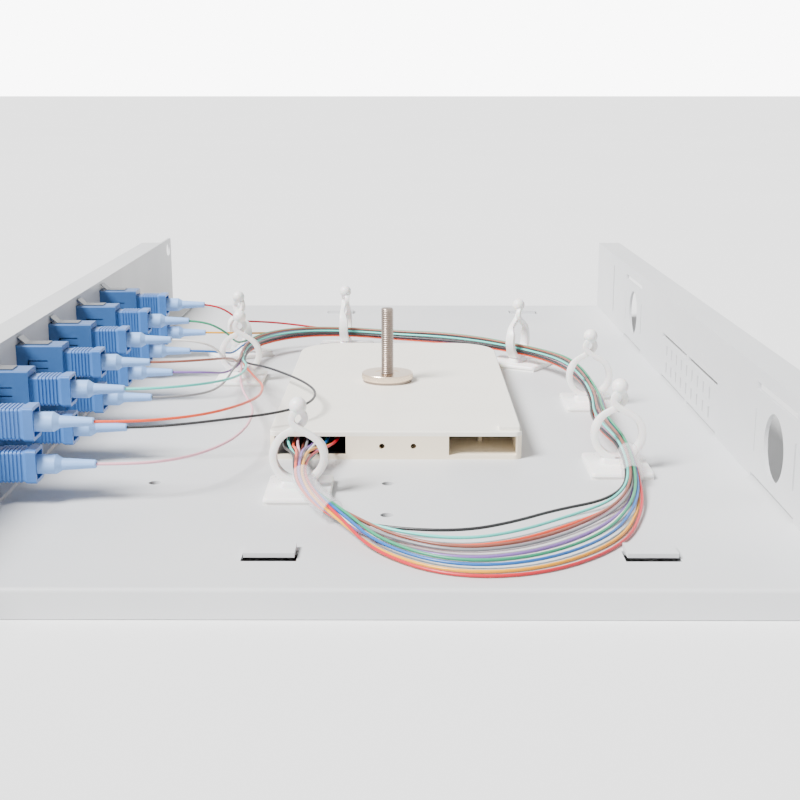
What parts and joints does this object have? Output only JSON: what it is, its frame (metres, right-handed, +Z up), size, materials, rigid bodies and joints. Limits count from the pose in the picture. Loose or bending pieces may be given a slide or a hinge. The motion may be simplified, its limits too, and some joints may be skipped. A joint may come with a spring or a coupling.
{
  "type": "fiber termination box",
  "caption": "Open rack-mount fibre termination tray with duplex adapters in its front panel, pigtails in ring clips and a splice cassette.",
  "frame": {"origin": "centre of the bounding box, on the plane that the tray stands on", "axes": "+X along the rack width, +Y to the rear cable entries, +Z up"},
  "size_m": [0.4826, 0.266, 0.0455],
  "materials": {
    "painted_sheet": "fine satin powder coat, light grey-white",
    "adapter_plastic": "moulded, blue",
    "grip_plastic": "moulded, mid blue, satin",
    "boot_plastic": "soft moulded strain relief, light blue",
    "frame_plastic": "moulded, off-white",
    "spring_steel": "stamped, dark",
    "zirconia": "polished",
    "cassette_plastic": "moulded, cream, fine texture",
    "comb_plastic": "moulded, white",
    "protector_plastic": "heat-shrink tube",
    "stud_steel": "rolled thread, plain",
    "nut_steel": "knurled, nickel plated",
    "clip_nylon": "moulded nylon, slightly translucent",
    "pad_foam": "adhesive foam",
    "clear_sleeve": "clear soft tube",
    "jacket_black": "black fibre jacket, satin",
    "jacket_aqua": "aqua fibre jacket, satin",
    "jacket_orange": "orange fibre jacket, satin",
    "jacket_rose": "rose fibre jacket, satin",
    "jacket_brown": "brown fibre jacket, satin",
    "jacket_grey": "grey fibre jacket, satin",
    "jacket_violet": "violet fibre jacket, satin",
    "jacket_white": "white fibre jacket, satin",
    "jacket_green": "green fibre jacket, satin",
    "jacket_blue": "blue fibre jacket, satin",
    "jacket_yellow": "yellow fibre jacket, satin",
    "jacket_red": "red fibre jacket, satin"
  },
  "bodies": {
    "tray": {"base_tray": "painted_sheet", "front_panel": "painted_sheet", "panel_rivets": "painted_sheet", "adapter_1": "adapter_plastic", "adapter_2": "adapter_plastic", "adapter_3": "adapter_plastic", "adapter_4": "adapter_plastic", "adapter_5": "adapter_plastic", "adapter_6": "adapter_plastic", "adapter_clips": "spring_steel", "alignment_sleeves": "zirconia", "ferrules": "zirconia", "plug_frames": "frame_plastic", "connector_boots": "boot_plastic", "splice_cassette": "cassette_plastic", "cassette_lid": "cassette_plastic", "splice_comb": "comb_plastic", "splice_protectors": "protector_plastic", "centre_stud": "stud_steel", "stud_fixing_nut": "stud_steel", "ring_clip_1": "clip_nylon", "ring_clip_2": "clip_nylon", "ring_clip_3": "clip_nylon", "ring_clip_4": "clip_nylon", "ring_clip_5": "clip_nylon", "ring_clip_6": "clip_nylon", "ring_clip_7": "clip_nylon", "adhesive_pads": "pad_foam", "clear_sleeve_1": "clear_sleeve", "clear_sleeve_2": "clear_sleeve", "pigtail_2_lower": "jacket_black", "pigtail_2_upper": "jacket_aqua", "pigtail_1_upper": "jacket_orange", "pigtail_1_lower": "jacket_rose", "pigtail_3_upper": "jacket_brown", "pigtail_3_lower": "jacket_grey", "pigtail_4_lower": "jacket_violet", "pigtail_4_upper": "jacket_white", "pigtail_5_upper": "jacket_green", "pigtail_5_lower": "jacket_blue", "pigtail_6_lower": "jacket_yellow", "pigtail_6_upper": "jacket_red"},
    "grip_1_upper": {"connector_grip_1_upper": "grip_plastic"},
    "grip_1_lower": {"connector_grip_1_lower": "grip_plastic"},
    "grip_2_upper": {"connector_grip_2_upper": "grip_plastic"},
    "grip_2_lower": {"connector_grip_2_lower": "grip_plastic"},
    "grip_3_upper": {"connector_grip_3_upper": "grip_plastic"},
    "grip_3_lower": {"connector_grip_3_lower": "grip_plastic"},
    "grip_4_upper": {"connector_grip_4_upper": "grip_plastic"},
    "grip_4_lower": {"connector_grip_4_lower": "grip_plastic"},
    "grip_5_upper": {"connector_grip_5_upper": "grip_plastic"},
    "grip_5_lower": {"connector_grip_5_lower": "grip_plastic"},
    "grip_6_upper": {"connector_grip_6_upper": "grip_plastic"},
    "grip_6_lower": {"connector_grip_6_lower": "grip_plastic"},
    "nut_lift": {"stud_washer": "stud_steel"},
    "nut": {"knurled_nut": "nut_steel"}
  },
  "joints": [
    {"name": "grip_1_upper_pull", "type": "slide", "parent": "tray", "child": "grip_1_upper", "axis": [0, 1, 0], "range_m": [0, 0.002]},
    {"name": "grip_1_lower_pull", "type": "slide", "parent": "tray", "child": "grip_1_lower", "axis": [0, 1, 0], "range_m": [0, 0.002]},
    {"name": "grip_2_upper_pull", "type": "slide", "parent": "tray", "child": "grip_2_upper", "axis": [0, 1, 0], "range_m": [0, 0.002]},
    {"name": "grip_2_lower_pull", "type": "slide", "parent": "tray", "child": "grip_2_lower", "axis": [0, 1, 0], "range_m": [0, 0.002]},
    {"name": "grip_3_upper_pull", "type": "slide", "parent": "tray", "child": "grip_3_upper", "axis": [0, 1, 0], "range_m": [0, 0.002]},
    {"name": "grip_3_lower_pull", "type": "slide", "parent": "tray", "child": "grip_3_lower", "axis": [0, 1, 0], "range_m": [0, 0.002]},
    {"name": "grip_4_upper_pull", "type": "slide", "parent": "tray", "child": "grip_4_upper", "axis": [0, 1, 0], "range_m": [0, 0.002]},
    {"name": "grip_4_lower_pull", "type": "slide", "parent": "tray", "child": "grip_4_lower", "axis": [0, 1, 0], "range_m": [0, 0.002]},
    {"name": "grip_5_upper_pull", "type": "slide", "parent": "tray", "child": "grip_5_upper", "axis": [0, 1, 0], "range_m": [0, 0.002]},
    {"name": "grip_5_lower_pull", "type": "slide", "parent": "tray", "child": "grip_5_lower", "axis": [0, 1, 0], "range_m": [0, 0.002]},
    {"name": "grip_6_upper_pull", "type": "slide", "parent": "tray", "child": "grip_6_upper", "axis": [0, 1, 0], "range_m": [0, 0.002]},
    {"name": "grip_6_lower_pull", "type": "slide", "parent": "tray", "child": "grip_6_lower", "axis": [0, 1, 0], "range_m": [0, 0.002]},
    {"name": "nut_rise", "type": "slide", "parent": "tray", "child": "nut_lift", "axis": [0, 0, 1], "range_m": [0, 0.02]},
    {"name": "nut_turn", "type": "hinge", "parent": "nut_lift", "child": "nut", "pos_m": [0.024, 0.0069, 0.02], "axis": [0, 0, 1], "range_deg": [0, 9000]}
  ],
  "couplings": [
    {"joint": "nut_turn", "follows": "nut_rise", "rad_per_m": 7854}
  ]
}
